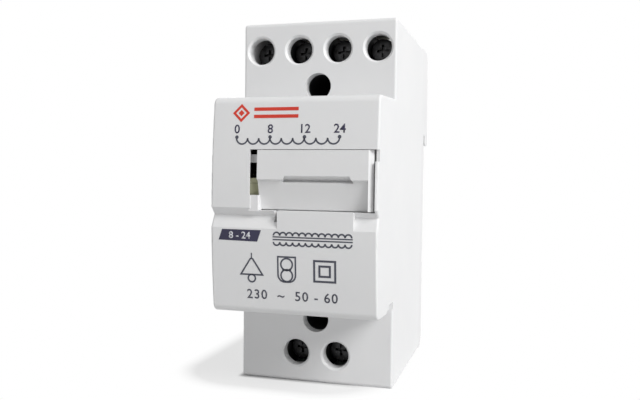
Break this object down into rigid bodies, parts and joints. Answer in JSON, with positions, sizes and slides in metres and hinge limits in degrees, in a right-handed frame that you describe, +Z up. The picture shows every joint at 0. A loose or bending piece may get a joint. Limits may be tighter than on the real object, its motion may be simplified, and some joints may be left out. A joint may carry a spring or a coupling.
{
  "type": "din rail transformer",
  "caption": "Modular bell transformer in a moulded housing with a stepped, crowned nose, screw terminals at both ends and a sprung latch for a top-hat rail.",
  "frame": {"origin": "centre of the rail seat, on the part's middle plane and the rail's centre line", "axes": "+X to the right seen from the front and along the rail, +Y out of the back towards the rail, +Z up along the longest side"},
  "size_m": [0.0356, 0.0688, 0.082],
  "materials": {
    "housing": "fine moulded grain",
    "insert": "fine moulded grain",
    "latch": "satin moulded",
    "carrier": "black moulded",
    "terminal_screw": "zinc plated",
    "carrier_screw": "zinc plated",
    "cage": "zinc plated",
    "tag": "tinned",
    "spring": "drawn wire",
    "core": "laminated, oxide coated",
    "bobbin": "moulded",
    "winding": "enamelled copper wire",
    "tape": "polyester film",
    "fuse": "epoxy coated",
    "secondary_lead": "pvc",
    "mains_lead": "pvc"
  },
  "bodies": {
    "housing": {"front_cover": "housing", "rear_base": "housing", "nose_insert": "insert", "latch_spring": "spring", "upper_terminal_carrier": "carrier", "lower_terminal_carrier": "carrier", "carrier_screw_upper": "carrier_screw", "carrier_screw_lower": "carrier_screw", "core_e_stack": "core", "core_i_stack": "core", "bobbin": "bobbin", "primary_winding": "winding", "secondary_winding": "winding", "primary_tape": "tape", "secondary_tape": "tape", "thermal_fuse": "fuse", "terminal_tag_0v": "tag", "lead_0v": "secondary_lead", "terminal_tag_8v": "tag", "lead_8v": "secondary_lead", "terminal_tag_12v": "tag", "lead_12v": "secondary_lead", "terminal_tag_24v": "tag", "lead_24v": "secondary_lead", "terminal_tag_mains_left": "tag", "lead_mains_left": "mains_lead", "terminal_tag_mains_right": "tag", "lead_mains_right": "mains_lead"},
    "latch": {"rail_latch": "latch"},
    "screw_0v": {"terminal_screw_0v": "terminal_screw"},
    "cage_0v": {"terminal_cage_0v": "cage"},
    "screw_8v": {"terminal_screw_8v": "terminal_screw"},
    "cage_8v": {"terminal_cage_8v": "cage"},
    "screw_12v": {"terminal_screw_12v": "terminal_screw"},
    "cage_12v": {"terminal_cage_12v": "cage"},
    "screw_24v": {"terminal_screw_24v": "terminal_screw"},
    "cage_24v": {"terminal_cage_24v": "cage"},
    "screw_mains_left": {"terminal_screw_mains_left": "terminal_screw"},
    "cage_mains_left": {"terminal_cage_mains_left": "cage"},
    "screw_mains_right": {"terminal_screw_mains_right": "terminal_screw"},
    "cage_mains_right": {"terminal_cage_mains_right": "cage"}
  },
  "joints": [
    {"name": "latch_slide", "type": "slide", "parent": "housing", "child": "latch", "axis": [0, 0, -1], "range_m": [0, 0.004], "stiffness_N_per_m": 400, "springref_m": -0.002, "deforming": ["latch_spring"]},
    {"name": "screw_turn_0v", "type": "hinge", "parent": "housing", "child": "screw_0v", "pos_m": [-0.01365, -0.036, 0.0347], "axis": [0, 1, 0], "range_deg": [0, 2641]},
    {"name": "cage_rise_0v", "type": "slide", "parent": "housing", "child": "cage_0v", "axis": [0, -1, 0], "range_m": [0, 0.0044]},
    {"name": "screw_turn_8v", "type": "hinge", "parent": "housing", "child": "screw_8v", "pos_m": [-0.00455, -0.036, 0.0347], "axis": [0, 1, 0], "range_deg": [0, 2641]},
    {"name": "cage_rise_8v", "type": "slide", "parent": "housing", "child": "cage_8v", "axis": [0, -1, 0], "range_m": [0, 0.0044]},
    {"name": "screw_turn_12v", "type": "hinge", "parent": "housing", "child": "screw_12v", "pos_m": [0.00455, -0.036, 0.0347], "axis": [0, 1, 0], "range_deg": [0, 2641]},
    {"name": "cage_rise_12v", "type": "slide", "parent": "housing", "child": "cage_12v", "axis": [0, -1, 0], "range_m": [0, 0.0044]},
    {"name": "screw_turn_24v", "type": "hinge", "parent": "housing", "child": "screw_24v", "pos_m": [0.01365, -0.036, 0.0347], "axis": [0, 1, 0], "range_deg": [0, 2641]},
    {"name": "cage_rise_24v", "type": "slide", "parent": "housing", "child": "cage_24v", "axis": [0, -1, 0], "range_m": [0, 0.0044]},
    {"name": "screw_turn_mains_left", "type": "hinge", "parent": "housing", "child": "screw_mains_left", "pos_m": [-0.0047, -0.036, -0.0344], "axis": [0, 1, 0], "range_deg": [0, 2641]},
    {"name": "cage_rise_mains_left", "type": "slide", "parent": "housing", "child": "cage_mains_left", "axis": [0, -1, 0], "range_m": [0, 0.0044]},
    {"name": "screw_turn_mains_right", "type": "hinge", "parent": "housing", "child": "screw_mains_right", "pos_m": [0.0047, -0.036, -0.0344], "axis": [0, 1, 0], "range_deg": [0, 2641]},
    {"name": "cage_rise_mains_right", "type": "slide", "parent": "housing", "child": "cage_mains_right", "axis": [0, -1, 0], "range_m": [0, 0.0044]}
  ],
  "couplings": [
    {"joint": "screw_turn_0v", "follows": "cage_rise_0v", "rad_per_m": 10472},
    {"joint": "screw_turn_8v", "follows": "cage_rise_8v", "rad_per_m": 10472},
    {"joint": "screw_turn_12v", "follows": "cage_rise_12v", "rad_per_m": 10472},
    {"joint": "screw_turn_24v", "follows": "cage_rise_24v", "rad_per_m": 10472},
    {"joint": "screw_turn_mains_left", "follows": "cage_rise_mains_left", "rad_per_m": 10472},
    {"joint": "screw_turn_mains_right", "follows": "cage_rise_mains_right", "rad_per_m": 10472}
  ]
}
